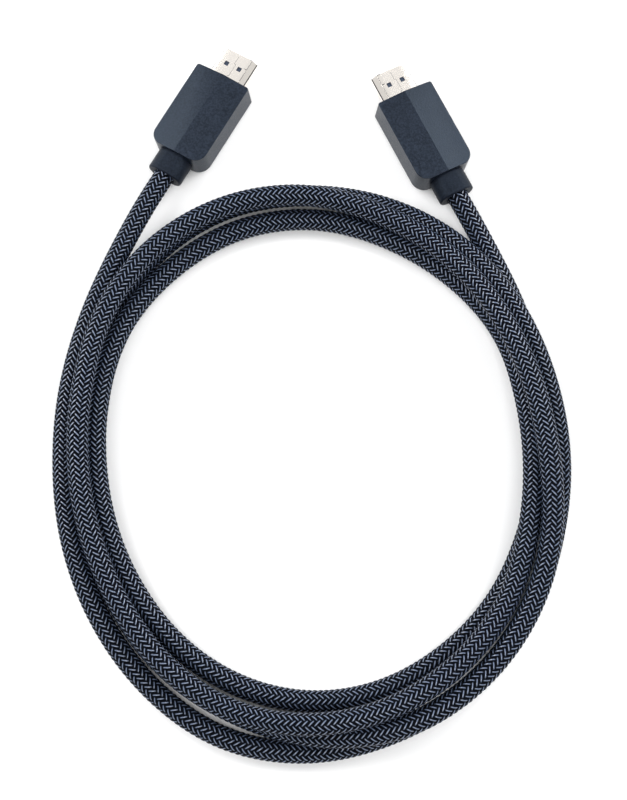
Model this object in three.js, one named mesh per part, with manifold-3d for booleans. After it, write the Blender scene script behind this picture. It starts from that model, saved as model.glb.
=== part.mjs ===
// An HDMI cable with a braided jacket and a moulded plug on each end, lying in a loose oval coil.
// Millimetres, +Z up. The cable lies on the plane z = 0 with both plugs at the +Y side.
import * as THREE from 'three'
import Module from 'manifold-3d'
import { mergeVertices } from 'three/addons/utils/BufferGeometryUtils.js'

const wasm = await Module()
wasm.setup()

// Driving dimensions of the cord
const cordDiameter = 7.6
const cordSides = 10

// Driving dimensions of the moulded housing
const housingWidth = 21.4
const housingLength = 33.3
const housingSideHeight = 10.2
const ridgeRise = 1.13
const rearCornerRadius = 4.6
const frontCornerRadius = 0.8

// Driving dimensions of the strain relief collar
const collarWidth = 13.1
const collarHeight = 9.8
const collarLength = 8.2
const collarEdge = 0.6
const collarSideFlat = 0.4
const neckDiameter = 9
const neckLength = 5
const cordGripDepth = 5
const straightExit = 1

// Driving dimensions of the metal shell, the insulator and the contacts
const shellWidth = 13.9
const shellHeight = 4.45
const shellNarrowWidth = 10.2
const shellSideHeight = 2.55
const shellWall = 0.3
const shellCornerRadius = 0.5
const shellReach = 10.9
const shellSeatDepth = 7
const windowSize = 1.65
const windowSpacing = 5.25
const windowFromHousing = 5.7
const insulatorRecess = 0.9
const slotWidth = 10.9
const slotHeight = 1.95
const slotDepth = 7.5
const contactWidth = 0.45
const contactThickness = 0.3
const contactProud = 0.12
const contactPitch = 1
const contactSetback = 1
const lowerRowCount = 10
const upperRowCount = 9

// The insulator's open end lies a little inside the shell's mouth
const insulatorFront = housingLength + shellReach - insulatorRecess

// Clearances: one between pieces that seat on each other, one inside the connector
const seatGap = 0.3
const fineGap = 0.08
// How far a cutting shape passes the face that it cuts
const overshoot = 1
// Steps in an arc and sides of a round rod
const arcSteps = 4
const roundSides = 24

// Where the coil and the two plugs lie
const coilCentre = new THREE.Vector2(0.3, -27.9)
const leftPlug = { x: -48, y: 84, heading: 59.4, outerSide: -1 }
const rightPlug = { x: 47.2, y: 76.8, heading: 116.9, outerSide: 1 }

const degrees = THREE.MathUtils.degToRad

// The lay is drawn for a cord of this diameter, and a thinner or thicker one is laid in proportion
const drawnDiameter = 8
const layScale = cordDiameter / drawnDiameter

// The cord's lay, station by station: the bearing in degrees (clockwise from +X, seen from above),
// then for each turn of the coil, from the right plug on, its [radius, height] at the centre line.
const coilLay = [
  [306, [106.2, 4.4], [88.7, 4], [91.2, 13.2], [98.1, 8.5]],
  [324, [94, 4], [85.4, 7], [85.6, 17.4], [92.4, 12.6]],
  [342, [85, 4], [80, 10.7], [82.8, 18.6], [89, 11.3]],
  [360, [81.5, 4], [78.3, 11.8], [83.1, 18.6], [88, 9.3]],
  [378, [79.5, 4], [79.3, 12.4], [87.3, 15.4], [88.8, 4]],
  [396, [80, 4], [83, 12.6], [91.3, 12.6], [91.7, 4]],
  [414, [80.5, 4], [85.8, 15.2], [94.3, 12.6], [94.2, 4]],
  [432, [81.8, 4], [88.6, 17.4], [96, 12.8], [96.2, 4]],
  [450, [82.1, 4], [90.3, 18.3], [93.6, 10.4], [99, 4]],
  [468, [80.8, 4], [89.8, 12.6], [89.8, 4], [99.3, 4]],
  [486, [78.7, 4], [86.7, 12.4], [87.1, 4], [95.6, 4]],
  [504, [76.5, 7.6], [82.9, 13.2], [84, 4], [91.6, 7.4]],
  [522, [75.9, 9.1], [81.6, 15.4], [82.5, 4], [89.1, 9.1]],
  [540, [77.1, 10.1], [82.6, 16.6], [82.9, 4], [88.6, 10.1]],
  [558, [80.8, 10.3], [86.1, 16.8], [86.3, 4], [91.8, 10.3]],
  [576, [86.6, 9], [93, 16.4], [93.2, 4], [98.6, 10.3]],
  [594, [91.3, 4.5], [99.6, 12.4], [100, 4], [112.5, 7]],
  [612, [94.7, 4], [102.2, 12.2], [104, 4]],
  [630, [94.8, 4], [101.2, 12], [104, 4]],
  [648, [91.5, 4], [96.6, 10.8], [102.7, 4]],
]
const coilTurns = 4
// One point of each lead between its plug and the coil
const rightLeadPoint = [55, 62.8, 5]
const leftLeadPoint = [-57.2, 69, 6.3]

// The lower facet that a plug lies on slopes by this angle, so the plug is turned by it
const plugRoll = Math.atan2(ridgeRise, housingWidth / 2)
const plugAxisHeight = (housingSideHeight / 2 + ridgeRise) * Math.cos(plugRoll)

function finish(colour, roughness, metalness) {
  return new THREE.MeshStandardMaterial({ color: colour, roughness, metalness })
}

function toSolid(geometry) {
  const bare = geometry.clone()
  bare.deleteAttribute('normal')
  bare.deleteAttribute('uv')
  const merged = mergeVertices(bare, 1e-4)
  const mesh = new wasm.Mesh({
    numProp: 3,
    vertProperties: new Float32Array(merged.attributes.position.array),
    triVerts: new Uint32Array(merged.index.array),
  })
  return new wasm.Manifold(mesh)
}

function toGeometry(solid) {
  const mesh = solid.getMesh()
  const geometry = new THREE.BufferGeometry()
  geometry.setAttribute('position', new THREE.BufferAttribute(mesh.vertProperties, 3))
  geometry.setIndex(new THREE.BufferAttribute(mesh.triVerts, 1))
  geometry.computeVertexNormals()
  return geometry
}

function cut(body, ...tools) {
  return toGeometry(tools.reduce((left, tool) => left.subtract(toSolid(tool)), toSolid(body)))
}

function join(body, ...others) {
  return toGeometry(others.reduce((sum, other) => sum.add(toSolid(other)), toSolid(body)))
}

function common(first, second) {
  return toGeometry(toSolid(first).intersect(toSolid(second)))
}

// A closed outline through corner points [x, y, radius], each corner an arc of its own radius
function roundedOutline(corners) {
  const outline = new THREE.Shape()
  corners.forEach(([x, y, radius], index) => {
    const corner = new THREE.Vector2(x, y)
    const [backX, backY] = corners[(index + corners.length - 1) % corners.length]
    const [nextX, nextY] = corners[(index + 1) % corners.length]
    const toBack = new THREE.Vector2(backX, backY).sub(corner).normalize()
    const toNext = new THREE.Vector2(nextX, nextY).sub(corner).normalize()
    const halfAngle = Math.acos(toBack.dot(toNext)) / 2
    const start = corner.clone().addScaledVector(toBack, radius / Math.tan(halfAngle))
    const end = corner.clone().addScaledVector(toNext, radius / Math.tan(halfAngle))
    if (index === 0) outline.moveTo(start.x, start.y)
    else outline.lineTo(start.x, start.y)
    if (radius > 0) outline.quadraticCurveTo(x, y, end.x, end.y)
  })
  outline.closePath()
  return outline
}

function rectangleCorners(width, height, radius) {
  const x = width / 2
  const y = height / 2
  return [[-x, -y, radius], [x, -y, radius], [x, y, radius], [-x, y, radius]]
}

// A prism along the plug's axis, +Y, from a section drawn in X and Z
function alongAxis(section, start, length, bevel = 0) {
  const geometry = new THREE.ExtrudeGeometry(section, {
    depth: length - 2 * bevel,
    steps: 1,
    curveSegments: arcSteps,
    bevelEnabled: bevel > 0,
    bevelThickness: bevel,
    bevelSize: bevel,
    bevelOffset: -bevel,
    bevelSegments: 2,
  })
  return geometry.rotateX(Math.PI / 2).translate(0, start + length - bevel, 0)
}

function rodAlongAxis(diameter, start, length) {
  return new THREE.CylinderGeometry(diameter / 2, diameter / 2, length, roundSides)
    .translate(0, start + length / 2, 0)
}

// The connector's section, narrow side up: a rectangle with its two upper corners slanted
function connectorOutline(inset, cornerRadius) {
  const halfWide = shellWidth / 2
  const halfNarrow = shellNarrowWidth / 2
  const bottom = -shellHeight / 2
  const shoulder = bottom + shellSideHeight
  const slant = Math.atan2(shellHeight - shellSideHeight, halfWide - halfNarrow)
  const shoulderDrop = inset * Math.tan((Math.PI / 2 - slant) / 2)
  const narrowDraw = inset * Math.tan(slant / 2)
  const right = [
    [halfWide - inset, bottom + inset],
    [halfWide - inset, shoulder - shoulderDrop],
    [halfNarrow - narrowDraw, -bottom - inset],
  ]
  const left = right.map(([x, z]) => [-x, z]).reverse()
  return roundedOutline([...right, ...left].map(([x, z]) => [x, z, cornerRadius]))
}

// A window cutter at each of the two latch places, on both broad faces of the shell
function latchWindows() {
  return [-1, 1].map((side) =>
    new THREE.BoxGeometry(windowSize, windowSize, 2 * shellHeight)
      .translate((side * windowSpacing) / 2, housingLength + windowFromHousing, 0))
}

function housingGeometry() {
  const halfWidth = housingWidth / 2
  const halfSide = housingSideHeight / 2
  const ridge = halfSide + ridgeRise
  const section = new THREE.Shape([
    new THREE.Vector2(-halfWidth, -halfSide), new THREE.Vector2(0, -ridge),
    new THREE.Vector2(halfWidth, -halfSide), new THREE.Vector2(halfWidth, halfSide),
    new THREE.Vector2(0, ridge), new THREE.Vector2(-halfWidth, halfSide),
  ])
  const plan = roundedOutline([
    [-halfWidth, 0, rearCornerRadius], [halfWidth, 0, rearCornerRadius],
    [halfWidth, housingLength, frontCornerRadius], [-halfWidth, housingLength, frontCornerRadius],
  ])
  const slab = new THREE.ExtrudeGeometry(plan, {
    depth: 4 * ridge, bevelEnabled: false, curveSegments: 2 * arcSteps,
  }).translate(0, 0, -2 * ridge)
  const body = common(alongAxis(section, -overshoot, housingLength + 2 * overshoot), slab)
  const shellSeat = alongAxis(connectorOutline(-seatGap, shellCornerRadius),
    housingLength - shellSeatDepth - seatGap, shellSeatDepth + seatGap + overshoot)
  const neckSeat = rodAlongAxis(neckDiameter + 2 * seatGap, -overshoot, neckLength + seatGap + overshoot)
  return cut(body, shellSeat, neckSeat)
}

function collarGeometry() {
  const cornerRadius = (collarHeight - collarSideFlat) / 2
  const section = roundedOutline(rectangleCorners(collarWidth, collarHeight, cornerRadius))
  const sleeve = alongAxis(section, -collarLength, collarLength - seatGap, collarEdge)
  const neckStart = -seatGap - collarEdge - overshoot
  const neck = rodAlongAxis(neckDiameter, neckStart, neckLength - neckStart)
  const bore = rodAlongAxis(cordDiameter + 2 * seatGap, -collarLength - overshoot, cordGripDepth + overshoot)
  return cut(join(sleeve, neck), bore)
}

function shellGeometry() {
  const start = housingLength - shellSeatDepth
  const length = shellSeatDepth + shellReach
  const outside = alongAxis(connectorOutline(0, shellCornerRadius), start, length)
  const inside = alongAxis(connectorOutline(shellWall, shellCornerRadius - shellWall),
    start - overshoot, length + 2 * overshoot)
  return cut(outside, inside, ...latchWindows())
}

// The contacts' places across the slot as [x, side], with side +1 for the row under the narrow face
const contactPlaces = [[lowerRowCount, -1], [upperRowCount, 1]].flatMap(([count, side]) =>
  Array.from({ length: count }, (_, index) => [(index - (count - 1) / 2) * contactPitch, side]))

// A contact bar for widen = 0, and otherwise the groove that it lies in, wider by that much all round
function contactBar([x, side], widen = 0) {
  const outerFace = slotHeight / 2 - contactProud + contactThickness + widen
  const thickness = contactThickness + 2 * widen
  const start = insulatorFront - slotDepth + fineGap - widen
  const front = insulatorFront - contactSetback + widen
  return new THREE.BoxGeometry(contactWidth + 2 * widen, front - start, thickness)
    .translate(x, (front + start) / 2, side * (outerFace - thickness / 2))
}

function insulatorGeometry() {
  const start = housingLength - shellSeatDepth
  const block = alongAxis(connectorOutline(shellWall + fineGap, 0), start, insulatorFront - start)
  const slot = new THREE.BoxGeometry(slotWidth, slotDepth + overshoot, slotHeight)
    .translate(0, insulatorFront - (slotDepth - overshoot) / 2, 0)
  const grooves = contactPlaces.map((place) => contactBar(place, fineGap))
  return cut(block, slot, ...grooves)
}

// The pieces of one plug, in its own frame: +Y points out of the shell, y = 0 is the housing's rear face
function plug(side, place) {
  const pieces = {
    housing: [housingGeometry(), finish(0x454d5d, 0.62, 0)],
    strain_relief_collar: [collarGeometry(), finish(0x3f4756, 0.65, 0)],
    connector_shell: [shellGeometry(), finish(0xe9dccb, 0.22, 1)],
    contact_insulator: [insulatorGeometry(), finish(0x15171b, 0.5, 0)],
  }
  contactPlaces.forEach((spot, index) => {
    const number = String(index + 1).padStart(2, '0')
    pieces[`contact_${number}`] = [contactBar(spot), finish(0xd9b061, 0.25, 1)]
  })
  const rolled = new THREE.Group()
  rolled.rotation.y = place.outerSide * plugRoll
  for (const [name, [geometry, material]] of Object.entries(pieces)) {
    const mesh = new THREE.Mesh(geometry, material)
    mesh.name = `${side}_${name}`
    rolled.add(mesh)
  }
  const placed = new THREE.Group()
  placed.position.set(place.x, place.y, plugAxisHeight)
  placed.rotation.z = degrees(place.heading - 90)
  placed.add(rolled)
  return placed
}

// A point on a plug's axis, at a distance from the housing's rear face
function onPlugAxis(place, distance) {
  const heading = degrees(place.heading)
  return new THREE.Vector3(
    place.x + distance * Math.cos(heading), place.y + distance * Math.sin(heading), plugAxisHeight)
}

function coilPoint(bearing, [radius, height]) {
  const angle = -degrees(bearing)
  const reach = layScale * radius
  return new THREE.Vector3(
    coilCentre.x + reach * Math.cos(angle), coilCentre.y + reach * Math.sin(angle), layScale * height)
}

function cordStations() {
  const gripEnd = -collarLength + cordGripDepth - seatGap
  const stations = [onPlugAxis(rightPlug, gripEnd), onPlugAxis(rightPlug, -collarLength - straightExit)]
  stations.push(new THREE.Vector3(...rightLeadPoint))
  for (let turn = 1; turn <= coilTurns; turn += 1) {
    for (const station of coilLay) {
      if (station[turn]) stations.push(coilPoint(station[0], station[turn]))
    }
  }
  stations.push(new THREE.Vector3(...leftLeadPoint))
  stations.push(onPlugAxis(leftPlug, -collarLength - straightExit), onPlugAxis(leftPlug, gripEnd))
  return stations
}

// A smooth curve whose steps fall on its stations, so that neighbouring turns keep their distance
class StationCurve extends THREE.CatmullRomCurve3 {
  getPointAt(share, target) {
    return this.getPoint(share, target)
  }

  getTangentAt(share, target) {
    return this.getTangent(share, target)
  }
}

function cord() {
  const section = new THREE.Shape()
  for (let corner = 0; corner < cordSides; corner += 1) {
    const angle = (2 * Math.PI * corner) / cordSides
    const x = (cordDiameter / 2) * Math.cos(angle)
    const y = (cordDiameter / 2) * Math.sin(angle)
    if (corner === 0) section.moveTo(x, y)
    else section.lineTo(x, y)
  }
  section.closePath()
  const stations = cordStations()
  const geometry = new THREE.ExtrudeGeometry(section, {
    steps: stations.length - 1,
    extrudePath: new StationCurve(stations, false, 'centripetal'),
  })
  const mesh = new THREE.Mesh(geometry, finish(0x1b202b, 0.8, 0))
  mesh.name = 'braided_cord'
  return mesh
}

const group = new THREE.Group()
group.add(cord(), plug('left', leftPlug), plug('right', rightPlug))
export default group
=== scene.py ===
"""The looks of a braided HDMI cable with two moulded plugs, lying in a loose oval coil."""
from math import atan2, cos, pi, radians, sin

import bmesh
import bpy
import numpy as np
from mathutils import Matrix, Vector


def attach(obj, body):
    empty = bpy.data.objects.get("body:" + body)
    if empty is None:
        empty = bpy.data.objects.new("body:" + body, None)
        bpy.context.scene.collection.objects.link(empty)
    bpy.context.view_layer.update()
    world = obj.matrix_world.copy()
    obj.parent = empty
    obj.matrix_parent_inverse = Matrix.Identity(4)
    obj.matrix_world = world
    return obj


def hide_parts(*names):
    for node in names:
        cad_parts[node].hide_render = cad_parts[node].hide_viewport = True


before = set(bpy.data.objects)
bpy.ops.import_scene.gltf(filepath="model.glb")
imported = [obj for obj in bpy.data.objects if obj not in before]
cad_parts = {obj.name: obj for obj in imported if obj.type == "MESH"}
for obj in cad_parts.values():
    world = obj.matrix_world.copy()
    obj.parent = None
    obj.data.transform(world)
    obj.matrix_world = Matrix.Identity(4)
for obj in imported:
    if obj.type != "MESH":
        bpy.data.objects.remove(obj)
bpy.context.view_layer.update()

bl_info = {
    "name": "Braided HDMI cable",
    "version": (1, 0, 0),
    "blender": (4, 5, 0),
    "location": "3D View > Sidebar > HDMI cable",
    "description": "Dresses a coiled video lead: braid, plugs, metal shells and the studio around them",
    "category": "Add Mesh",
}

BODY = "root"
SIDES = ("left", "right")
# Coordinates that differ by less than this, in metres, count as the same
TINY = 1e-6

# The lay of the cord, as in the part's source, in metres: for each bearing round the coil's centre
# (clockwise from +X, seen from above) each turn's [radius, height] of the centre line. It is drawn for
# a cord of the drawn diameter, and another one is laid in proportion. Most of the radii are what a
# script printed from the coil's inner outline, measured in the photograph, and picked distances from it.
COIL_CENTRE = (0.0003, -0.0279)
DRAWN_DIAMETER = 0.008
COIL_LAY = (
    (306, (0.1062, 0.0044), (0.0887, 0.004), (0.0912, 0.0132), (0.0981, 0.0085)),
    (324, (0.094, 0.004), (0.0854, 0.007), (0.0856, 0.0174), (0.0924, 0.0126)),
    (342, (0.085, 0.004), (0.08, 0.0107), (0.0828, 0.0186), (0.089, 0.0113)),
    (360, (0.0815, 0.004), (0.0783, 0.0118), (0.0831, 0.0186), (0.088, 0.0093)),
    (378, (0.0795, 0.004), (0.0793, 0.0124), (0.0873, 0.0154), (0.0888, 0.004)),
    (396, (0.08, 0.004), (0.083, 0.0126), (0.0913, 0.0126), (0.0917, 0.004)),
    (414, (0.0805, 0.004), (0.0858, 0.0152), (0.0943, 0.0126), (0.0942, 0.004)),
    (432, (0.0818, 0.004), (0.0886, 0.0174), (0.096, 0.0128), (0.0962, 0.004)),
    (450, (0.0821, 0.004), (0.0903, 0.0183), (0.0936, 0.0104), (0.099, 0.004)),
    (468, (0.0808, 0.004), (0.0898, 0.0126), (0.0898, 0.004), (0.0993, 0.004)),
    (486, (0.0787, 0.004), (0.0867, 0.0124), (0.0871, 0.004), (0.0956, 0.004)),
    (504, (0.0765, 0.0076), (0.0829, 0.0132), (0.084, 0.004), (0.0916, 0.0074)),
    (522, (0.0759, 0.0091), (0.0816, 0.0154), (0.0825, 0.004), (0.0891, 0.0091)),
    (540, (0.0771, 0.0101), (0.0826, 0.0166), (0.0829, 0.004), (0.0886, 0.0101)),
    (558, (0.0808, 0.0103), (0.0861, 0.0168), (0.0863, 0.004), (0.0918, 0.0103)),
    (576, (0.0866, 0.009), (0.093, 0.0164), (0.0932, 0.004), (0.0986, 0.0103)),
    (594, (0.0913, 0.0045), (0.0996, 0.0124), (0.1, 0.004), (0.1125, 0.007)),
    (612, (0.0947, 0.004), (0.1022, 0.0122), (0.104, 0.004)),
    (630, (0.0948, 0.004), (0.1012, 0.012), (0.104, 0.004)),
    (648, (0.0915, 0.004), (0.0966, 0.0108), (0.1027, 0.004)),
)
COIL_TURNS = 4
RIGHT_LEAD_POINT = (0.055, 0.0628, 0.005)
LEFT_LEAD_POINT = (-0.0572, 0.069, 0.0063)
# How far the cord reaches into a collar and runs straight behind it
CORD_GRIP = 0.0047
STRAIGHT_EXIT = 0.001
# Spacing of the points at which the cord's curve is worked out, and the shortest bend that it keeps
CURVE_STEP = 0.001
SPRING_REACH = 0.008

# Each plug's place: the middle of its housing's rear face, its heading and the side it leans to
PLUGS = {
    "left": {"at": (-0.048, 0.084), "heading": 59.4, "lean": -1},
    "right": {"at": (0.0472, 0.0768), "heading": 116.9, "lean": 1},
}


class CordSettings(bpy.types.PropertyGroup):
    diameter: bpy.props.FloatProperty(
        name="Diameter", description="Outside diameter of the braid", default=0.0076, unit="LENGTH")
    carriers: bpy.props.IntProperty(
        name="Strands each way", description="Braid strands that wind in each direction", default=12)
    lay_length: bpy.props.FloatProperty(
        name="Lay length", description="Length of cord in which a strand winds round once", default=0.0232,
        unit="LENGTH")
    strand_rise: bpy.props.FloatProperty(
        name="Strand rise", description="How far a strand rises and dips as it crosses others",
        default=0.00024, unit="LENGTH")
    strand_crown: bpy.props.FloatProperty(
        name="Strand crown", description="How far a strand's middle stands above its edges",
        default=0.00034, unit="LENGTH")
    dark_yarn: bpy.props.FloatVectorProperty(
        name="Dark yarn", description="Colour of most of the yarns", default=(0.001, 0.0015, 0.003),
        subtype="COLOR")
    light_yarn: bpy.props.FloatVectorProperty(
        name="Light yarn", description="Colour of the light yarn in each strand",
        default=(0.108, 0.142, 0.22), subtype="COLOR")


class PlugSettings(bpy.types.PropertyGroup):
    width: bpy.props.FloatProperty(
        name="Housing width", description="Width of the moulded housing", default=0.0214, unit="LENGTH")
    length: bpy.props.FloatProperty(
        name="Housing length", description="Length of the moulded housing", default=0.0333, unit="LENGTH")
    side_height: bpy.props.FloatProperty(
        name="Side height", description="Height of the housing's side walls", default=0.0102, unit="LENGTH")
    ridge_rise: bpy.props.FloatProperty(
        name="Ridge rise", description="How far the middle ridge stands above the side walls",
        default=0.00113, unit="LENGTH")
    collar_width: bpy.props.FloatProperty(
        name="Collar width", description="Width of the strain relief collar", default=0.0131, unit="LENGTH")
    collar_height: bpy.props.FloatProperty(
        name="Collar height", description="Height of the strain relief collar", default=0.0098,
        unit="LENGTH")
    collar_length: bpy.props.FloatProperty(
        name="Collar length", description="Length of the strain relief collar", default=0.0082,
        unit="LENGTH")
    slate: bpy.props.FloatVectorProperty(
        name="Housing colour", description="Colour of the soft-touch moulding",
        default=(0.0095, 0.0128, 0.021), subtype="COLOR")
    nickel: bpy.props.FloatVectorProperty(
        name="Shell colour", description="Colour of the plated shells", default=(0.97, 0.92, 0.86),
        subtype="COLOR")
    gold: bpy.props.FloatVectorProperty(
        name="Contact colour", description="Colour of the plated contacts", default=(0.85, 0.6, 0.25),
        subtype="COLOR")


class StageSettings(bpy.types.PropertyGroup):
    camera_tilt: bpy.props.FloatProperty(
        name="Camera elevation", description="Angle of the view above the floor",
        default=radians(77), subtype="ANGLE")
    camera_distance: bpy.props.FloatProperty(
        name="Camera distance", description="Distance from the point looked at", default=0.57,
        unit="LENGTH")
    floor_size: bpy.props.FloatProperty(
        name="Floor size", description="Side of the pale floor", default=6, unit="LENGTH")


def settings(kind):
    """The settings of the cord, the plugs or the stage."""
    return getattr(bpy.context.scene, f"hdmi_cable_{kind}")


def link(data, name):
    """A new object in the scene, of a mesh, curve, light or camera."""
    piece = bpy.data.objects.new(name, data)
    bpy.context.scene.collection.objects.link(piece)
    return piece


# Route of the cord


def plug_matrix(side):
    """From a plug's own frame (+Y out of its shell, y = 0 at the housing's rear face) to the row frame."""
    plug, size = PLUGS[side], settings("plug")
    roll = atan2(size.ridge_rise, size.width / 2)
    height = (size.side_height / 2 + size.ridge_rise) * cos(roll)
    place = Matrix.Translation((*plug["at"], height))
    turn = Matrix.Rotation(radians(plug["heading"] - 90), 4, "Z")
    return place @ turn @ Matrix.Rotation(plug["lean"] * roll, 4, "Y")


def cord_stations():
    """Points that guide the cord, from inside the right collar to inside the left one."""
    rear = -settings("plug").collar_length
    inside, outside = Vector((0, rear + CORD_GRIP, 0)), Vector((0, rear - STRAIGHT_EXIT, 0))
    right, left = plug_matrix("right"), plug_matrix("left")
    stations = [right @ inside, right @ outside, Vector(RIGHT_LEAD_POINT)]
    lay_scale = settings("cord").diameter / DRAWN_DIAMETER
    for turn in range(1, COIL_TURNS + 1):
        for row in COIL_LAY:
            if turn < len(row):
                radius, height = (lay_scale * part for part in row[turn])
                angle = -radians(row[0])
                stations.append(Vector((
                    COIL_CENTRE[0] + radius * cos(angle), COIL_CENTRE[1] + radius * sin(angle), height)))
    stations += [Vector(LEFT_LEAD_POINT), left @ outside, left @ inside]
    return np.array(stations)


def through(points, steps=24):
    """A smooth curve through all the points, with its knots spaced by the root of their distance."""
    p = np.vstack([2 * points[0] - points[1], points, 2 * points[-1] - points[-2]])
    share = np.linspace(0, 1, steps, endpoint=False)[:, None]
    pieces = []
    for k in range(1, len(p) - 2):
        before, here, there, after = p[k - 1:k + 3]
        knot = [np.linalg.norm(b - a) ** 0.5 for a, b in ((before, here), (here, there), (there, after))]
        leave = (here - before) / knot[0] - (there - before) / (knot[0] + knot[1]) + (there - here) / knot[1]
        enter = (there - here) / knot[1] - (after - here) / (knot[1] + knot[2]) + (after - there) / knot[2]
        cube, square = share ** 3, share ** 2
        pieces.append((2 * cube - 3 * square + 1) * here + (cube - 2 * square + share) * leave * knot[1]
                      + (3 * square - 2 * cube) * there + (cube - square) * enter * knot[1])
    return np.vstack([*pieces, p[-2][None]])


def evenly(points, step):
    """The same curve with its points the same distance apart."""
    run = np.concatenate([[0], np.cumsum(np.linalg.norm(np.diff(points, axis=0), axis=1))])
    marks = np.linspace(0, run[-1], int(round(run[-1] / step)) + 1)
    return np.stack([np.interp(marks, run, points[:, axis]) for axis in range(3)], 1)


def relaxed(points, step, reach):
    """The curve as a springy cord lies: bends shorter than reach are evened out, both ends stay."""
    count = int(4 * reach / step)
    weights = np.exp(-0.5 * (np.arange(-count, count + 1) * step / reach) ** 2)
    weights /= weights.sum()
    ends = 2 * points[0] - points[count:0:-1], 2 * points[-1] - points[-2:-count - 2:-1]
    padded = np.vstack([ends[0], points, ends[1]])
    return np.stack([np.convolve(padded[:, axis], weights, "valid") for axis in range(3)], 1)


def cord_path(step):
    """The cord's centre line, with a point at every step, nowhere lower than the floor lets it lie."""
    fine = relaxed(evenly(through(cord_stations()), CURVE_STEP), CURVE_STEP, SPRING_REACH)
    fine[:, 2] = np.maximum(fine[:, 2], settings("cord").diameter / 2)
    return evenly(fine, step)


def path_frames(path):
    """Directions along and across the path, carried along it without twist."""
    along = np.gradient(path, axis=0)
    along /= np.linalg.norm(along, axis=1)[:, None]
    up = np.zeros_like(path)
    up[0] = np.cross(along[0], (1, 0, 0))
    for k in range(len(path)):
        last = up[max(k - 1, 0)]
        across = last - along[k] * np.dot(last, along[k])
        up[k] = across / np.linalg.norm(across)
    return along, up, np.cross(along, up)


# Nodes of the materials


def new_material(name):
    material = bpy.data.materials.new(name)
    material.use_nodes = True
    tree = material.node_tree
    shader = next(node for node in tree.nodes if node.type == "BSDF_PRINCIPLED")
    return material, tree, shader


def feed(tree, socket, value):
    """Links an output to a socket, or sets a plain value on it."""
    if isinstance(value, bpy.types.NodeSocket):
        tree.links.new(value, socket)
    else:
        socket.default_value = value


def calc(tree, operation, *values, clamp=False):
    """The result of a Math node on some outputs or plain values."""
    node = tree.nodes.new("ShaderNodeMath")
    node.operation = operation
    node.use_clamp = clamp
    for socket, value in zip(node.inputs, values):
        feed(tree, socket, value)
    return node.outputs[0]


def blend(tree, factor, first, second):
    """Between two colours by a factor."""
    node = tree.nodes.new("ShaderNodeMix")
    node.data_type = "RGBA"
    feed(tree, node.inputs["Factor"], factor)
    for socket, value in ((node.inputs[6], first), (node.inputs[7], second)):
        feed(tree, socket, value if isinstance(value, bpy.types.NodeSocket) else (*value, 1))
    return node.outputs[2]


def between(tree, value, low, high):
    """0 below low, 1 above high and a smooth step between."""
    node = tree.nodes.new("ShaderNodeMapRange")
    node.interpolation_type = "SMOOTHSTEP"
    feed(tree, node.inputs["Value"], value)
    node.inputs["From Min"].default_value = low
    node.inputs["From Max"].default_value = high
    return node.outputs["Result"]


def bump(tree, shader, height, distance):
    """Lets a height, times a distance in metres, tilt the shader's normal."""
    node = tree.nodes.new("ShaderNodeBump")
    node.inputs["Distance"].default_value = distance
    tree.links.new(height, node.inputs["Height"])
    tree.links.new(node.outputs["Normal"], shader.inputs["Normal"])


def new_group(name, inputs, outputs):
    """A node group with the given sockets, and its input and output nodes."""
    group = bpy.data.node_groups.new(name, "ShaderNodeTree")
    for title, kind, default in inputs:
        socket = group.interface.new_socket(title, in_out="INPUT", socket_type=kind)
        if default is not None:
            socket.default_value = default
    for title, kind in outputs:
        group.interface.new_socket(title, in_out="OUTPUT", socket_type=kind)
    return group, group.nodes.new("NodeGroupInput"), group.nodes.new("NodeGroupOutput")


def moulded_grain():
    """Fine speckle of a moulded or coated plastic: a mask for its colour and a height."""
    name = "Moulded grain"
    if name in bpy.data.node_groups:
        return bpy.data.node_groups[name]
    group, given, made = new_group(
        name, [("Grains per metre", "NodeSocketFloat", 2500.0)],
        [("Speckle", "NodeSocketFloat"), ("Height", "NodeSocketFloat"), ("Cloud", "NodeSocketFloat")])
    place = group.nodes.new("ShaderNodeTexCoord")
    for output, share, detail in (("Speckle", 1.0, 3), ("Height", 1.7, 2), ("Cloud", 0.05, 2)):
        noise = group.nodes.new("ShaderNodeTexNoise")
        noise.inputs["Detail"].default_value = detail
        group.links.new(place.outputs["Object"], noise.inputs["Vector"])
        scale = calc(group, "MULTIPLY", given.outputs[0], share)
        group.links.new(scale, noise.inputs["Scale"])
        group.links.new(noise.outputs["Fac"], made.inputs[output])
    return group


def add_group(tree, group, **values):
    """A node that uses the group, with values for its inputs, whose blanks are written as underscores."""
    node = tree.nodes.new("ShaderNodeGroup")
    node.node_tree = group
    for title, value in values.items():
        node.inputs[title.replace("_", " ")].default_value = value
    return node


# Moulded plastic: grains per metre, depth of the grain, and the range of its colour and roughness
GRAINS = 1500.0
GRAIN_RELIEF = 0.00004
GRAIN_SHADES = (0.6, 1.5)
CLOUD_SHARE = 0.25
GRAIN_ROUGHNESS = 0.12
COOL_SHINE = (0.66, 0.82, 1.0, 1)


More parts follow.
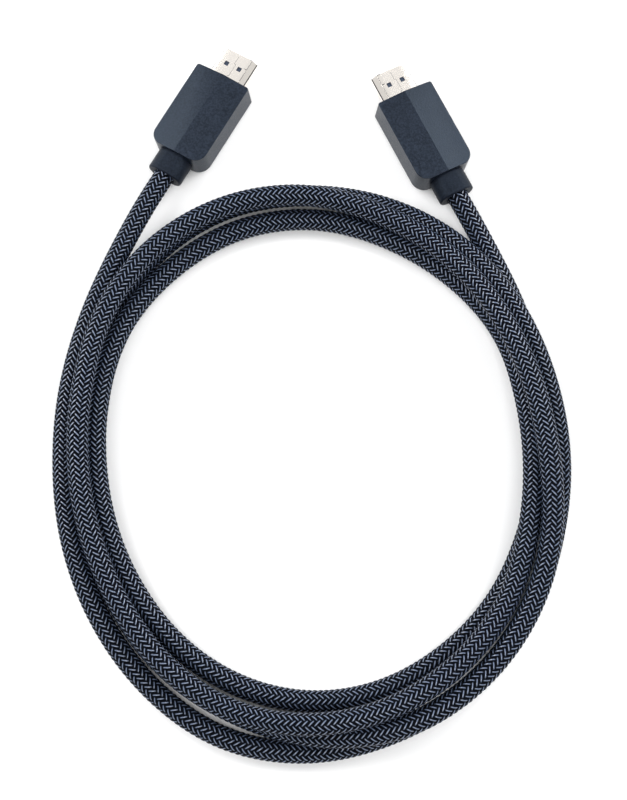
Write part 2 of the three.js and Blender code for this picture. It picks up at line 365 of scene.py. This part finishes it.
def moulded_material(name, colour, roughness, shine=0.35):
    """A matte moulded plastic with a fine speckle, a little cloudy, and a cool shine."""
    material, tree, shader = new_material(name)
    shader.inputs["Specular IOR Level"].default_value = shine
    shader.inputs["Specular Tint"].default_value = COOL_SHINE
    grains = add_group(tree, moulded_grain(), Grains_per_metre=GRAINS)
    speckle = between(tree, grains.outputs["Speckle"], 0.3, 0.7)
    cloud = between(tree, grains.outputs["Cloud"], 0.3, 0.7)
    dark, light = ([shade * part for part in colour] for shade in GRAIN_SHADES)
    fine = calc(tree, "MULTIPLY", speckle, 1 - CLOUD_SHARE)
    mixed = calc(tree, "MULTIPLY_ADD", cloud, CLOUD_SHARE, fine)
    tree.links.new(blend(tree, mixed, dark, light), shader.inputs["Base Color"])
    rough = calc(tree, "MULTIPLY_ADD", speckle, GRAIN_ROUGHNESS, roughness - GRAIN_ROUGHNESS / 2)
    tree.links.new(rough, shader.inputs["Roughness"])
    bump(tree, shader, grains.outputs["Height"], GRAIN_RELIEF)
    return material


def braid_weave():
    """Two-over-two weave on a braid's own map: u counts the strands one way and v the other."""
    group, given, made = new_group(
        "Braid weave", [("Map", "NodeSocketVector", None)],
        [("Across", "NodeSocketFloat"), ("Along", "NodeSocketFloat"), ("Way", "NodeSocketFloat"),
         ("Yarn", "NodeSocketFloat")])
    split = group.nodes.new("ShaderNodeSeparateXYZ")
    group.links.new(given.outputs["Map"], split.inputs[0])
    u, v = split.outputs["X"], split.outputs["Y"]
    across_u, across_v = calc(group, "FRACT", u), calc(group, "FRACT", v)
    whole_u, whole_v = calc(group, "FLOOR", u), calc(group, "FLOOR", v)
    count = calc(group, "FLOORED_MODULO", calc(group, "ADD", whole_u, whole_v), 4.0)
    way = calc(group, "LESS_THAN", count, 1.5)
    other = calc(group, "SUBTRACT", 1.0, way)

    def choose(first, second):
        return calc(group, "ADD", calc(group, "MULTIPLY", way, first),
                    calc(group, "MULTIPLY", other, second))

    across = choose(across_u, across_v)
    step = calc(group, "MULTIPLY", calc(group, "FLOORED_MODULO", count, 2.0), 0.5)
    along = calc(group, "MULTIPLY_ADD", choose(across_v, across_u), 0.5, step)
    strand = choose(whole_u, whole_v)
    run = choose(calc(group, "MULTIPLY", v, 0.35), calc(group, "MULTIPLY", u, 0.35))
    spot = group.nodes.new("ShaderNodeCombineXYZ")
    for socket, value in zip(spot.inputs, (run, calc(group, "MULTIPLY_ADD", across, 5.0, strand), way)):
        feed(group, socket, value)
    noise = group.nodes.new("ShaderNodeTexNoise")
    noise.inputs["Scale"].default_value = 1.0
    noise.inputs["Detail"].default_value = 1
    group.links.new(spot.outputs[0], noise.inputs["Vector"])
    results = {"Across": across, "Along": along, "Way": way, "Yarn": noise.outputs["Fac"]}
    for title, value in results.items():
        group.links.new(value, made.inputs[title])
    return group


BRAID_MAP = "weave"
YARNS_PER_STRAND = 4
YARN_RELIEF = 0.00004
# Where a strand's light yarn starts and ends, as shares of its width, each with a soft edge
LIGHT_YARN_START = (0.34, 0.42)
LIGHT_YARN_END = (0.6, 0.68)
# How far from a strand's middle line, and from the middle of its float, the painted shade begins and is full
GROOVE = (0.24, 0.43)
DIVE = (0.3, 0.48)
DIVE_SHADE = 0.8
# Near-black colour of the painted shade where strands meet and dive
PAINTED_GROOVE_SHADE = (0.002, 0.0025, 0.004)


def braid_material():
    """Dark yarns with one light, shiny yarn in each strand, with shade painted into the colour where strands
    meet and dive.
    """
    size = settings("cord")
    material, tree, shader = new_material("Nylon braid")
    shader.inputs["Specular IOR Level"].default_value = 0.06
    shader.inputs["Coat Roughness"].default_value = 0.24
    shader.inputs["Coat IOR"].default_value = 1.7
    shader.inputs["Specular Tint"].default_value = (0.72, 0.85, 1.0, 1)
    where = tree.nodes.new("ShaderNodeUVMap")
    where.uv_map = BRAID_MAP
    weave = add_group(tree, braid_weave())
    tree.links.new(where.outputs["UV"], weave.inputs["Map"])
    across, yarn = weave.outputs["Across"], weave.outputs["Yarn"]
    way, along = weave.outputs["Way"], weave.outputs["Along"]
    mirrored = calc(tree, "ABSOLUTE", calc(tree, "SUBTRACT", across, way))
    light = calc(tree, "MULTIPLY", between(tree, mirrored, *LIGHT_YARN_START),
                 calc(tree, "SUBTRACT", 1.0, between(tree, mirrored, *LIGHT_YARN_END)))
    edge = calc(tree, "ABSOLUTE", calc(tree, "SUBTRACT", across, 0.5))
    groove = between(tree, edge, *GROOVE)
    ends = calc(tree, "ABSOLUTE", calc(tree, "SUBTRACT", along, 0.5))
    dive = between(tree, ends, *DIVE)
    dark = [part * 2.2 for part in size.dark_yarn]
    yarns = blend(tree, between(tree, yarn, 0.35, 0.7), size.dark_yarn, dark)
    coloured = blend(tree, light, yarns, size.light_yarn)
    # Painted shade: the colour is darkened towards near black in the grooves between strands and where they
    # dive
    shade = calc(tree, "MAXIMUM", groove, calc(tree, "MULTIPLY", dive, DIVE_SHADE))
    tree.links.new(blend(tree, shade, coloured, PAINTED_GROOVE_SHADE), shader.inputs["Base Color"])
    tree.links.new(calc(tree, "MULTIPLY_ADD", shade, 0.45, 0.5), shader.inputs["Roughness"])
    tree.links.new(calc(tree, "SUBTRACT", light, shade, clamp=True), shader.inputs["Coat Weight"])
    wave = calc(tree, "SINE", calc(tree, "MULTIPLY", across, 2 * pi * YARNS_PER_STRAND))
    bump(tree, shader, calc(tree, "MULTIPLY_ADD", wave, 0.5, yarn), YARN_RELIEF)
    return material


# Pieces


# The camera: its lens and the height of its sensor in millimetres, and the point that it looks at
LENS = 49.5
SENSOR_HEIGHT = 24
LOOK_AT = (0.00046, -0.00258, 0)


class HDMI_OT_camera(bpy.types.Operator):
    """Sets up the camera at the photograph's viewing angle"""
    bl_idname = "hdmi_cable.camera"
    bl_label = "Camera"

    def execute(self, context):
        stage = settings("stage")
        lens = bpy.data.cameras.new("view")
        lens.sensor_fit = "VERTICAL"
        lens.sensor_height = SENSOR_HEIGHT
        lens.lens = LENS
        camera = link(lens, "camera")
        away = Vector((0, -cos(stage.camera_tilt), sin(stage.camera_tilt))) * stage.camera_distance
        camera.location = Vector(LOOK_AT) + away
        camera.rotation_euler = (pi / 2 - stage.camera_tilt, 0, 0)
        context.scene.camera = camera
        return {"FINISHED"}


def core_curve(path, radius):
    """A round curve along the path."""
    curve = bpy.data.curves.new("cord_jacket", "CURVE")
    curve.dimensions = "3D"
    curve.bevel_depth = radius
    curve.bevel_resolution = 3
    curve.use_fill_caps = True
    spline = curve.splines.new("POLY")
    spline.points.add(len(path) - 1)
    spline.points.foreach_set("co", np.hstack([path, np.ones((len(path), 1))]).ravel())
    return curve


# Faces across a strand, pieces that the sleeve is made in, the jacket's depth below the braid's
# outside and the spacing of its points
SAMPLES = 4
BRAID_PIECES = 5
JACKET_DEPTH = 0.00075
JACKET_STEP = 0.003


def strand_height(around, run, size):
    """Height of the braid's surface, above a cord without relief, where a grid of strands crosses.

    around and run count samples across the strands of each way. Two over two: a strand lies on top
    while the sum of the two strands' numbers is 0 or 1 in every four."""
    heights = []
    for across, other, sign in ((around, run, 1), (run, around, -1)):
        across, other = across / SAMPLES, other / SAMPLES
        for strand in (np.floor(across), np.ceil(across) - 1):
            crown = 1 - np.abs(2 * (across - strand) - 1) ** 2.5
            rise = np.sin(pi / 2 * (other + strand)) * sign
            heights.append(size.strand_crown * crown + size.strand_rise * rise)
    return np.max(heights, axis=0)


def braid_piece(index, path, frames, first, last, ring, size):
    """A sleeve of the braid whose faces follow the strands, from one ring of vertices to another."""
    rings = np.arange(first, last + 1)
    around = np.arange(ring)
    run = rings[:, None] + around[None]
    height = strand_height(np.broadcast_to(around, run.shape), run, size)
    top = size.strand_crown + size.strand_rise
    radius = (size.diameter / 2 - top + height)[..., None]
    angle = (2 * pi / ring * (around[None] + rings[:, None] / 2))[..., None]
    _, up, across = frames
    outwards = np.cos(angle) * up[rings, None] + np.sin(angle) * across[rings, None]
    spots = path[rings, None] + radius * outwards

    centre = np.arange(1, last - first)[:, None]
    side, other = around[None], (around[None] + 1)
    corner = [(centre, side), (centre - 1, other), (centre, other), (centre + 1, side)]
    faces = np.stack([row * ring + column % ring for row, column in corner], -1).reshape(-1, 4)
    maps = np.stack([
        np.stack([column + 0 * row, row + first + column], -1) for row, column in corner], -2)
    maps = (maps / SAMPLES).reshape(-1, 2)

    mesh = bpy.data.meshes.new(f"braid_{index}")
    mesh.vertices.add(spots.size // 3)
    mesh.vertices.foreach_set("co", spots.astype(np.float32).ravel())
    mesh.loops.add(faces.size)
    mesh.loops.foreach_set("vertex_index", faces.astype(np.int32).ravel())
    mesh.polygons.add(len(faces))
    mesh.polygons.foreach_set("loop_start", np.arange(0, faces.size, 4, dtype=np.int32))
    mesh.update(calc_edges=True)
    weave = mesh.uv_layers.new(name=BRAID_MAP, do_init=False)
    weave.uv.foreach_set("vector", maps.astype(np.float32).ravel())
    mesh.shade_smooth()
    return mesh


class HDMI_OT_cord(bpy.types.Operator):
    """Lays the cord along its route and braids its sleeve"""
    bl_idname = "hdmi_cable.cord"
    bl_label = "Braided cord"

    def execute(self, context):
        size = settings("cord")
        ring = size.carriers * SAMPLES
        path = cord_path(size.lay_length / (2 * ring))
        frames = path_frames(path)
        route = evenly(path, JACKET_STEP)
        core = link(core_curve(route, size.diameter / 2 - JACKET_DEPTH), "cord_jacket")
        core.data.materials.append(moulded_material("Black jacket", (0.006, 0.006, 0.008), 0.6))
        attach(core, BODY)
        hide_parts("braided_cord")

        braid = braid_material()
        marks = np.linspace(0, len(path) - 1, BRAID_PIECES + 1).astype(int)
        for index in range(BRAID_PIECES):
            first = marks[index] - (1 if index else 0)
            mesh = braid_piece(index + 1, path, frames, first, marks[index + 1], ring, size)
            mesh.materials.append(braid)
            sleeve = link(mesh, f"braid_{index + 1}")
            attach(sleeve, BODY)

        return {"FINISHED"}


def finished_piece(bm, name, side, material, smooth_angle=40):
    """The bmesh as a piece in the row frame, smooth but for its sharp edges."""
    bmesh.ops.recalc_face_normals(bm, faces=bm.faces)
    bm.edges.index_update()
    creases = [edge.index for edge in bm.edges if not edge.smooth]
    mesh = bpy.data.meshes.new(name)
    bm.to_mesh(mesh)
    bm.free()
    mesh.transform(plug_matrix(side))
    mesh.shade_smooth()
    mesh.set_sharp_from_angle(angle=radians(smooth_angle))
    for crease in creases:
        mesh.edges[crease].use_edge_sharp = True
    mesh.materials.append(material)
    piece = link(mesh, name)
    weigh = piece.modifiers.new("even shading", "WEIGHTED_NORMAL")
    weigh.keep_sharp = True
    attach(piece, BODY)
    return piece


def bevel(bm, edges, offset, segments):
    """Rounds the edges."""
    bmesh.ops.bevel(bm, geom=edges, offset=offset, offset_type="OFFSET", segments=segments, profile=0.5,
                    affect="EDGES", material=-1, clamp_overlap=True)


# Radii of the housing's upright corners and of the fillet round its broad faces
REAR_CORNER = 0.0046
FRONT_CORNER = 0.0008
EDGE_FILLET = 0.0003


def housing_bmesh(size):
    """The moulded housing: a plan with round corners, with a ridge along both broad faces."""
    half, middle = size.width / 2, size.side_height / 2
    bm = bmesh.new()
    plan = [(-half, 0), (0, 0), (half, 0), (half, size.length), (0, size.length), (-half, size.length)]
    base = bm.faces.new([bm.verts.new((x, y, -middle)) for x, y in plan])
    grown = bmesh.ops.extrude_face_region(bm, geom=[base])["geom"]
    raised = [item for item in grown if isinstance(item, bmesh.types.BMVert)]
    bmesh.ops.translate(bm, verts=raised, vec=(0, 0, 2 * middle))
    upright = [edge for edge in bm.edges if abs(edge.verts[0].co.z - edge.verts[1].co.z) > middle
               and abs(edge.verts[0].co.x) > half / 2]
    rear = [edge for edge in upright if edge.verts[0].co.y < 0.5 * size.length]
    front = [edge for edge in upright if edge not in rear]
    bevel(bm, rear, REAR_CORNER, 12)
    bevel(bm, front, FRONT_CORNER, 4)
    for sign in (-1, 1):
        level = [v for v in bm.verts if abs(v.co.x) < TINY and v.co.z * sign > 0]
        bmesh.ops.connect_verts(bm, verts=level)
    for vert in bm.verts:
        rise = size.ridge_rise * (1 - abs(vert.co.x) / half)
        vert.co.z += rise if vert.co.z > 0 else -rise
    rim = [edge for edge in bm.edges if len(edge.link_faces) == 2
           and edge.calc_face_angle() > radians(60)
           and min(abs(v.co.z) for v in edge.verts) > 0.9 * middle]
    bevel(bm, rim, EDGE_FILLET, 3)
    for edge in bm.edges:
        if all(abs(vert.co.x) < TINY and abs(vert.co.z) > middle for vert in edge.verts):
            edge.smooth = False
    return bm


class HDMI_OT_housings(bpy.types.Operator):
    """Makes the two moulded housings"""
    bl_idname = "hdmi_cable.housings"
    bl_label = "Housings"

    def execute(self, context):
        size = settings("plug")
        slate = moulded_material("Soft-touch slate", size.slate, 0.34)
        for side in SIDES:
            piece = finished_piece(housing_bmesh(size), f"{side}_plug_housing", side, slate)
            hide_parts(f"{side}_housing")
        return {"FINISHED"}


RING_CORNERS = 64
BORE_GAP = 0.0001


def oblong(share, width, height, inset):
    """A point of an oblong with round ends, share of the way round, drawn in by inset."""
    angle = 2 * pi * share
    radius = height / 2 - inset
    reach = (width - height) / 2
    x = radius * cos(angle)
    shift = reach if x > TINY else -reach if x < -TINY else 0
    return Vector((x + shift, 0, radius * sin(angle)))


def collar_bmesh(size, bore):
    """The strain relief collar: one ring carried from its bore, round its rear edge and up to the housing.

    Each step is a place along the plug, how far the ring is drawn in from the outside, or None where it
    is the round bore, and how much wider than the bore it is there."""
    rear = -size.collar_length
    steps = [(rear + 0.0045, None, 0), (rear + 0.0003, None, 0), (rear, None, 0.0003), (rear, 0.0006, 0),
             (rear + 0.00012, 0.00023, 0), (rear + 0.0004, 0.00004, 0), (rear + 0.0008, 0, 0),
             (rear * 0.5, 0, 0), (-0.0008, 0, 0), (-0.0003, 0.0001, 0), (0.0004, 0.0004, 0)]
    bm = bmesh.new()
    ring = bmesh.ops.create_circle(bm, segments=RING_CORNERS, radius=bore)["verts"]
    edges = list({edge for vert in ring for edge in vert.link_edges})
    order = {vert: index for index, vert in enumerate(ring)}
    for number, (y, inset, flare) in enumerate(steps):
        if number:
            grown = bmesh.ops.extrude_edge_only(bm, edges=edges)["geom"]
            fresh = [item for item in grown if isinstance(item, bmesh.types.BMVert)]
            edges = [item for item in grown if isinstance(item, bmesh.types.BMEdge)
                     and all(vert in fresh for vert in item.verts)]
            order = {vert: order[next(edge.other_vert(vert) for edge in vert.link_edges
                                      if edge.other_vert(vert) in order)] for vert in fresh}
        for vert, index in order.items():
            share = index / RING_CORNERS
            if inset is None:
                angle = 2 * pi * share
                spot = Vector(((bore + flare) * cos(angle), 0, (bore + flare) * sin(angle)))
            else:
                spot = oblong(share, size.collar_width, size.collar_height, inset)
            vert.co = spot + Vector((0, y, 0))
    bmesh.ops.holes_fill(bm, edges=edges, sides=0)
    return bm


class HDMI_OT_collars(bpy.types.Operator):
    """Makes the two strain relief collars"""
    bl_idname = "hdmi_cable.collars"
    bl_label = "Strain relief collars"

    def execute(self, context):
        size, cord = settings("plug"), settings("cord")
        slate = moulded_material("Collar slate", [0.75 * part for part in size.slate], 0.5, shine=0.15)
        for side in SIDES:
            mesh = collar_bmesh(size, cord.diameter / 2 + BORE_GAP)
            piece = finished_piece(mesh, f"{side}_plug_collar", side, slate)
            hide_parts(f"{side}_strain_relief_collar")
        return {"FINISHED"}


# The metal shell's section, narrow side up, and its features, in metres. Windows and jogs are placed
# from the housing's front face.
SHELL_WIDTH = 0.0139
SHELL_HEIGHT = 0.00445
SHELL_NARROW = 0.0102
SHELL_SIDE = 0.00255
SHELL_WALL = 0.0003
SHELL_REACH = 0.0109
SHELL_SEAT = 0.007
WINDOW = 0.00165
WINDOW_SPACING = 0.00525
WINDOW_AHEAD = 0.0057
SEAM = 0.00009
SEAM_JOG = 0.0006
JOG_START = 0.0018
JOG_END = 0.0068
LOWER_BEND = 0.0006
MOUTH_EDGE = 0.0004
# How near a face's middle is to the shoulder, or to the upper bend, for the shade painted on the shell there:
# near black in the fold, a darker line on the bend
SHOULDER_FOLD = 0.00025
UPPER_FOLD = 0.00008


def shell_section():
    """Points round the shell's outside, x and z, with more of them where windows, seam and folds are."""
    top, bottom = SHELL_HEIGHT / 2, -SHELL_HEIGHT / 2
    shoulder = bottom + SHELL_SIDE
    wide, narrow = SHELL_WIDTH / 2, SHELL_NARROW / 2
    windows = [WINDOW_SPACING / 2 - WINDOW / 2, WINDOW_SPACING / 2 + WINDOW / 2]
    upper = sorted([-SEAM / 2, SEAM / 2, SEAM_JOG - SEAM / 2, SEAM_JOG + SEAM / 2]
                   + windows + [-x for x in windows])
    points = [(x, top) for x in upper]
    slant = Vector((wide - narrow, shoulder - top)).normalized()
    right = [Vector((narrow - 0.00008, top)), Vector((narrow, top)) + slant * 0.00006 + Vector((0, -0.00001)),
             Vector((narrow, top)) + slant * 0.0003, Vector((wide, shoulder)) - slant * 0.00038,
             Vector((wide, shoulder)) - slant * 0.00003, Vector((wide, shoulder - 0.0001)),
             Vector((wide, shoulder - 0.0005)), Vector((wide, bottom + LOWER_BEND))]
    bend = Vector((wide - LOWER_BEND, bottom + LOWER_BEND))
    right += [bend + LOWER_BEND * Vector((cos(a), -sin(a))) for a in map(radians, (22.5, 45, 67.5, 90))]
    under = [(x, bottom) for x in reversed(windows)]
    half = [tuple(point) for point in right] + under
    points += half
    points += [(-x, z) for x, z in reversed(half)]
    return points


def shell_rows():
    """Places along the shell where its mesh needs an edge."""
    return sorted([-SHELL_SEAT, 0, WINDOW_AHEAD - WINDOW / 2, WINDOW_AHEAD + WINDOW / 2, JOG_START,
                   JOG_START + SEAM, JOG_END, JOG_END + SEAM, SHELL_REACH - MOUTH_EDGE, SHELL_REACH])


def shell_bmesh(size):
    """The folded shell: a tube with latch windows, and a seam with a dovetail jog on the narrow face."""
    section, rows = shell_section(), shell_rows()
    bm = bmesh.new()
    start = [bm.verts.new((x, size.length + rows[0], z)) for x, z in section]
    edges = [bm.edges.new((a, b)) for a, b in zip(start, start[1:] + start[:1])]
    for here, there in zip(rows, rows[1:]):
        grown = bmesh.ops.extrude_edge_only(bm, edges=edges)["geom"]
        fresh = [item for item in grown if isinstance(item, bmesh.types.BMVert)]
        edges = [item for item in grown if isinstance(item, bmesh.types.BMEdge)
                 and all(vert in fresh for vert in item.verts)]
        bmesh.ops.translate(bm, verts=fresh, vec=(0, there - here, 0))
    open_faces = [face for face in bm.faces if is_open(face.calc_center_median(), size.length)]
    bmesh.ops.delete(bm, geom=open_faces, context="FACES")
    bmesh.ops.recalc_face_normals(bm, faces=bm.faces)
    outwards = sum(face.normal.dot(face.calc_center_median() * Vector((1, 0, 1))) for face in bm.faces)
    if outwards < 0:
        bmesh.ops.reverse_faces(bm, faces=bm.faces)
    # Faces in the fold and on the upper bends get the painted shade materials
    for face in bm.faces:
        face.material_index = fold_painted_shade(face.calc_center_median(), size.length)
    bmesh.ops.solidify(bm, geom=bm.faces[:], thickness=SHELL_WALL)
    return bm


def fold_painted_shade(centre, housing_length):
    """Which material the shell has here: 1, near-black painted shade in the fold above its side walls, 2, a
    painted dark line on its upper bends.
    """
    shoulder = Vector((SHELL_WIDTH / 2, SHELL_SIDE - SHELL_HEIGHT / 2))
    upper = Vector((SHELL_NARROW / 2, SHELL_HEIGHT / 2))
    spot = Vector((abs(centre.x), centre.z))
    if centre.y < housing_length:
        return 0
    if (spot - shoulder).length < SHOULDER_FOLD:
        return 1
    return 2 if (spot - upper).length < UPPER_FOLD else 0


def is_open(centre, housing_length):
    """Whether the shell has no metal here: a latch window, or the seam."""
    x, y, z = centre.x, centre.y - housing_length, centre.z
    broad = abs(abs(z) - SHELL_HEIGHT / 2) < 10 * TINY
    if broad and abs(abs(x) - WINDOW_SPACING / 2) < WINDOW / 2 and abs(y - WINDOW_AHEAD) < WINDOW / 2:
        return True
    if z < 0 or not broad or y < 0:
        return False
    jogged = JOG_START < y < JOG_END + SEAM
    if abs(x - (SEAM_JOG if jogged else 0)) < SEAM / 2:
        return True
    turning = any(0 < y - jog < SEAM for jog in (JOG_START, JOG_END))
    return turning and -SEAM / 2 < x < SEAM_JOG + SEAM / 2


# Plated metal: grains per metre, depth of the grain, how dull its clouds are and how much rougher
METAL_GRAINS = 900.0
METAL_RELIEF = 0.000004
METAL_DULL = 0.93
METAL_HAZE = 0.08


def metal_material(name, colour, roughness):
    """A plated metal with a faint haze."""
    material, tree, shader = new_material(name)
    grains = add_group(tree, moulded_grain(), Grains_per_metre=METAL_GRAINS)
    haze = between(tree, grains.outputs["Cloud"], 0.3, 0.7)
    dull = [METAL_DULL * part for part in colour]
    tree.links.new(blend(tree, haze, dull, colour), shader.inputs["Base Color"])
    shader.inputs["Metallic"].default_value = 1.0
    tree.links.new(calc(tree, "MULTIPLY_ADD", haze, METAL_HAZE, roughness), shader.inputs["Roughness"])
    bump(tree, shader, grains.outputs["Height"], METAL_RELIEF)
    return material


class HDMI_OT_shells(bpy.types.Operator):
    """Makes the two folded metal shells"""
    bl_idname = "hdmi_cable.shells"
    bl_label = "Connector shells"

    def execute(self, context):
        size = settings("plug")
        nickel = metal_material("Warm nickel plate", size.nickel, 0.1)
        # Painted shade: near-black metal in the fold above the side walls, and darkened plate on the upper
        # bends
        shadow = metal_material("Shell fold painted shade", (0.012, 0.013, 0.02), 0.5)
        line = metal_material("Shell bend painted dark line", [0.25 * part for part in size.nickel], 0.4)
        for side in SIDES:
            piece = finished_piece(shell_bmesh(size), f"{side}_plug_shell", side, nickel, 35)
            piece.data.materials.append(shadow)
            piece.data.materials.append(line)
            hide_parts(f"{side}_connector_shell")
        return {"FINISHED"}


class HDMI_OT_contacts(bpy.types.Operator):
    """Finishes the contact carriers and the contacts, which keep their CAD shapes"""
    bl_idname = "hdmi_cable.contacts"
    bl_label = "Insulators and contacts"

    def execute(self, context):
        black = moulded_material("Black carrier", (0.03, 0.038, 0.06), 0.45)
        gold = metal_material("Gold plate", settings("plug").gold, 0.22)
        for name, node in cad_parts.items():
            if "_contact_" in name:
                node.data.materials.clear()
                node.data.materials.append(black if "insulator" in name else gold)
        return {"FINISHED"}


# The light tent: how bright it is for each height of the sky, from 0 at the horizon to 1 overhead
SKY = ((0.0, 0.6), (0.48, 0.75), (0.6, 0.2), (0.76, 0.4),
       (0.81, 0.95), (0.87, 0.9), (0.91, 0.03), (1.0, 0.01))
SKY_STRENGTH = 1.0
FLOOR_DEPTH = 0.0001
# Each softbox: its place, its side and its power in watts
SOFTBOXES = {
    "left softbox": ((-1.0, 0.6, 0.86), 1.05, 18.0),
    "right softbox": ((1.0, 0.6, 0.86), 1.05, 18.0),
    "front softbox": ((0.0, -0.5, 1.3), 0.9, 10.0),
}


def softbox(name, place, side, power):
    """A square light that faces the middle of the coil."""
    lamp = bpy.data.lights.new(name, "AREA")
    lamp.shape = "SQUARE"
    lamp.size = side
    lamp.energy = power
    light = link(lamp, name)
    light.location = place
    light.rotation_euler = (-Vector(place)).to_track_quat("-Z", "Y").to_euler()


class HDMI_OT_stage(bpy.types.Operator):
    """Sets up the pale floor and the soft studio light"""
    bl_idname = "hdmi_cable.stage"
    bl_label = "Studio"

    def execute(self, context):
        bm = bmesh.new()
        bmesh.ops.create_grid(bm, x_segments=1, y_segments=1, size=settings("stage").floor_size / 2)
        bmesh.ops.translate(bm, verts=bm.verts, vec=(0, 0, -FLOOR_DEPTH))
        mesh = bpy.data.meshes.new("floor")
        bm.to_mesh(mesh)
        bm.free()
        floor = link(mesh, "floor")
        material, _, shader = new_material("White sweep")
        shader.inputs["Base Color"].default_value = (0.9, 0.9, 0.9, 1)
        shader.inputs["Roughness"].default_value = 0.9
        mesh.materials.append(material)

        world = bpy.data.worlds.new("studio")
        world.use_nodes = True
        tree = world.node_tree
        direction = tree.nodes.new("ShaderNodeTexCoord")
        split = tree.nodes.new("ShaderNodeSeparateXYZ")
        tree.links.new(direction.outputs["Generated"], split.inputs[0])
        bands = tree.nodes.new("ShaderNodeValToRGB")
        bands.color_ramp.interpolation = "EASE"
        bands.color_ramp.elements.remove(bands.color_ramp.elements[1])
        for place, light in SKY:
            stop = bands.color_ramp.elements.new(place) if place else bands.color_ramp.elements[0]
            stop.color = (light, light, light, 1)
        tree.links.new(split.outputs["Z"], bands.inputs["Fac"])
        sky = tree.nodes["Background"]
        tree.links.new(bands.outputs["Color"], sky.inputs["Color"])
        sky.inputs["Strength"].default_value = SKY_STRENGTH
        context.scene.world = world
        for name, box in SOFTBOXES.items():
            softbox(name, *box)
        context.scene.view_settings.view_transform = "Standard"
        return {"FINISHED"}


class HDMI_PT_panel(bpy.types.Panel):
    """Shows the lead's settings and a button for each step"""
    bl_idname = "HDMI_PT_panel"
    bl_label = "HDMI cable"
    bl_space_type = "VIEW_3D"
    bl_region_type = "UI"
    bl_category = "HDMI cable"

    def draw(self, context):
        for kind in GROUPS:
            box = self.layout.box()
            group = settings(kind)
            for name in group.__annotations__:
                box.prop(group, name)
        for operator in OPERATORS:
            self.layout.operator(operator.bl_idname)


GROUPS = {"cord": CordSettings, "plug": PlugSettings, "stage": StageSettings}
OPERATORS = (HDMI_OT_camera, HDMI_OT_housings, HDMI_OT_collars, HDMI_OT_shells, HDMI_OT_cord,
             HDMI_OT_contacts, HDMI_OT_stage)
CLASSES = (*GROUPS.values(), *OPERATORS, HDMI_PT_panel)


def register():
    for made in CLASSES:
        bpy.utils.register_class(made)
    for kind, group in GROUPS.items():
        setattr(bpy.types.Scene, f"hdmi_cable_{kind}", bpy.props.PointerProperty(type=group))


def unregister():
    for kind in GROUPS:
        delattr(bpy.types.Scene, f"hdmi_cable_{kind}")
    for made in reversed(CLASSES):
        bpy.utils.unregister_class(made)


def main():
    register()
    bpy.ops.hdmi_cable.camera()
    bpy.ops.hdmi_cable.housings()
    bpy.ops.hdmi_cable.collars()
    bpy.ops.hdmi_cable.shells()
    bpy.ops.hdmi_cable.cord()
    bpy.ops.hdmi_cable.contacts()
    bpy.ops.hdmi_cable.stage()


if __name__ == "__main__":
    main()
